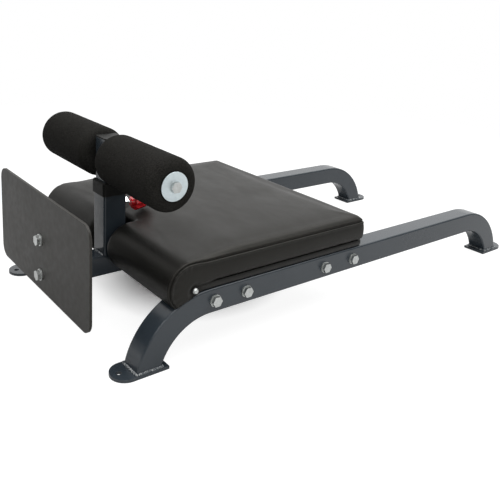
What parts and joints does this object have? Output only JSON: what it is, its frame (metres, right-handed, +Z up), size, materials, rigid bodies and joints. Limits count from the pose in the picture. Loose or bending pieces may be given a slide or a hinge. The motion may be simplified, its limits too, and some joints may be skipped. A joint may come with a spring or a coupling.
{
  "type": "roman chair",
  "caption": "Low floor roman chair: wide pad on bent tube rails, with a sliding foot plate unit and two foam ankle rollers on an adjustable post.",
  "frame": {"origin": "on the floor, at the centre of the four floor-bolt holes", "axes": "+X the way the user faces, away from the foot plate; +Y the user's left; +Z up"},
  "size_m": [1.2665, 0.583, 0.3849],
  "materials": {
    "frame_paint": "semi-gloss dark slate powder coat",
    "footplate_paint": "smooth satin gunmetal coat on raised-lug tread plate",
    "zinc_hardware": "bright zinc plate",
    "black_hardware": "black oxide",
    "bare_steel": "bare drawn steel",
    "chrome_pin": "polished chrome plate",
    "black_plastic": "moulded black plastic, fine texture",
    "roller_foam": "matte closed-cell foam",
    "red_knob": "glossy deep red",
    "pad_base": "board wrapped in plain black vinyl",
    "pad_vinyl": "black vinyl with a fine grain, slightly shiny"
  },
  "bodies": {
    "frame": {"front_left_cross_tube": "frame_paint", "front_left_flange": "frame_paint", "front_left_foot_plate": "frame_paint", "front_right_cross_tube": "frame_paint", "front_right_flange": "frame_paint", "front_right_foot_plate": "frame_paint", "left_rail": "frame_paint", "length_pin_barrel": "chrome_pin", "length_pin_spring": "bare_steel", "pad_board": "pad_base", "pad_cushion": "pad_vinyl", "pad_edge_bars": "bare_steel", "pad_inserts": "zinc_hardware", "pad_mounting_screws": "zinc_hardware", "pad_mounting_washers": "zinc_hardware", "pad_side_screws": "zinc_hardware", "pad_side_washers": "black_hardware", "rail_bolts": "zinc_hardware", "rail_nuts": "zinc_hardware", "rail_washers": "zinc_hardware", "rear_left_cross_tube": "frame_paint", "rear_left_flange": "frame_paint", "rear_left_foot_plate": "frame_paint", "rear_right_cross_tube": "frame_paint", "rear_right_flange": "frame_paint", "rear_right_foot_plate": "frame_paint", "receiver_collar": "black_plastic", "receiver_end_cap": "black_plastic", "receiver_tube": "frame_paint", "right_rail": "frame_paint"},
    "carriage": {"spine_tube": "frame_paint", "spine_end_glide": "black_plastic", "footplate_bracket": "frame_paint", "footplate_gusset": "frame_paint", "footplate": "footplate_paint", "footplate_bolts": "zinc_hardware", "footplate_washers": "zinc_hardware", "footplate_nuts": "zinc_hardware", "upright_tube": "frame_paint", "post_collar": "black_plastic", "height_pin_barrel": "chrome_pin", "height_pin_spring": "bare_steel"},
    "post": {"roller_post": "frame_paint", "post_top_cap": "black_plastic", "post_bottom_glide": "black_plastic", "roller_axle": "bare_steel", "roller_spacers": "black_plastic", "roller_end_washers": "zinc_hardware", "roller_end_bolts": "zinc_hardware"},
    "left_roller": {"left_roller_foam": "roller_foam", "left_roller_core": "black_plastic"},
    "right_roller": {"right_roller_foam": "roller_foam", "right_roller_core": "black_plastic"},
    "height_pull": {"height_pin": "chrome_pin", "height_pin_knob": "red_knob"},
    "length_pull": {"length_pin": "chrome_pin", "length_pin_knob": "red_knob"}
  },
  "joints": [
    {"name": "carriage_slide", "type": "slide", "parent": "frame", "child": "carriage", "axis": [1, 0, 0], "range_m": [-0.15, 0]},
    {"name": "post_slide", "type": "slide", "parent": "carriage", "child": "post", "axis": [0, 0, 1], "range_m": [0, 0.075]},
    {"name": "left_roller_spin", "type": "hinge", "parent": "post", "child": "left_roller", "pos_m": [-0.489, 0.135, 0.3325], "axis": [0, 1, 0], "continuous": true},
    {"name": "right_roller_spin", "type": "hinge", "parent": "post", "child": "right_roller", "pos_m": [-0.489, -0.135, 0.3325], "axis": [0, 1, 0], "continuous": true},
    {"name": "height_pin_pull", "type": "slide", "parent": "carriage", "child": "height_pull", "axis": [1, 0, 0], "range_m": [-0.008, 0]},
    {"name": "length_pin_pull", "type": "slide", "parent": "frame", "child": "length_pull", "axis": [0, 0, -1], "range_m": [-0.008, 0]}
  ]
}
